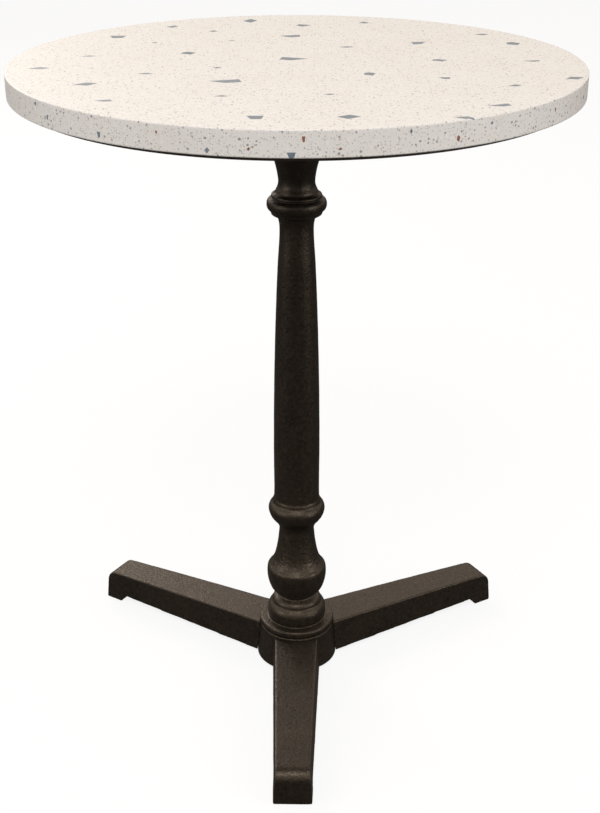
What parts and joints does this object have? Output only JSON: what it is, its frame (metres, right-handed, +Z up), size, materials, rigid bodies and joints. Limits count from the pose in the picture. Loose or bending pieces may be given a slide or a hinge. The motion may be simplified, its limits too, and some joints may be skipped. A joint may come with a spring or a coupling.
{
  "type": "bistro table",
  "caption": "Round bistro table: terrazzo top on a turned cast-iron column, with tapered cast legs bolted to a central hub and screw-in levelling glides.",
  "frame": {"origin": "on the floor, on the column axis", "axes": "+Z up along the column; the front leg points along -Y and the other two lie 120 degrees either side"},
  "size_m": [0.5999, 0.6, 0.74],
  "materials": {
    "terrazzo": "honed, cream matrix with fine grey and brown specks and scattered blue-grey chips",
    "board": "dark brown stained edge",
    "cast_iron": "bronze-black lacquer over sand-cast iron, rubbed lighter on edges",
    "zinc_steel": "zinc plated",
    "brass": "plain turned",
    "glide_plastic": "moulded black"
  },
  "bodies": {
    "table": {"terrazzo_top": "terrazzo", "backing_board": "board", "top_inserts": "brass", "top_spider": "cast_iron", "column": "cast_iron", "base_hub": "cast_iron", "leg_front": "cast_iron", "leg_left": "cast_iron", "leg_right": "cast_iron", "top_screw_washers": "zinc_steel", "top_screws": "zinc_steel", "tie_rod": "zinc_steel", "tie_rod_top_nut": "zinc_steel", "tie_rod_top_washer": "zinc_steel", "tie_rod_bottom_nut": "zinc_steel", "tie_rod_bottom_washer": "zinc_steel", "leg_bolt_washers": "zinc_steel", "leg_bolts": "zinc_steel"},
    "glide_disc_front": {"glide_disc_front": "glide_plastic"},
    "glide_stud_front": {"glide_stud_front": "zinc_steel"},
    "glide_disc_left": {"glide_disc_left": "glide_plastic"},
    "glide_stud_left": {"glide_stud_left": "zinc_steel"},
    "glide_disc_right": {"glide_disc_right": "glide_plastic"},
    "glide_stud_right": {"glide_stud_right": "zinc_steel"}
  },
  "joints": [
    {"name": "glide_front_travel", "type": "slide", "parent": "table", "child": "glide_disc_front", "axis": [0, 0, -1], "range_m": [0, 0.008]},
    {"name": "glide_front_turn", "type": "hinge", "parent": "glide_disc_front", "child": "glide_stud_front", "pos_m": [0, -0.2735, 0], "axis": [0, 0, -1], "range_deg": [0, 2304]},
    {"name": "glide_left_travel", "type": "slide", "parent": "table", "child": "glide_disc_left", "axis": [0, 0, -1], "range_m": [0, 0.008]},
    {"name": "glide_left_turn", "type": "hinge", "parent": "glide_disc_left", "child": "glide_stud_left", "pos_m": [-0.23686, 0.13675, 0], "axis": [0, 0, -1], "range_deg": [0, 2304]},
    {"name": "glide_right_travel", "type": "slide", "parent": "table", "child": "glide_disc_right", "axis": [0, 0, -1], "range_m": [0, 0.008]},
    {"name": "glide_right_turn", "type": "hinge", "parent": "glide_disc_right", "child": "glide_stud_right", "pos_m": [0.23686, 0.13675, 0], "axis": [0, 0, -1], "range_deg": [0, 2304]}
  ],
  "couplings": [
    {"joint": "glide_front_turn", "follows": "glide_front_travel", "rad_per_m": 5026.5},
    {"joint": "glide_left_turn", "follows": "glide_left_travel", "rad_per_m": 5026.5},
    {"joint": "glide_right_turn", "follows": "glide_right_travel", "rad_per_m": 5026.5}
  ]
}
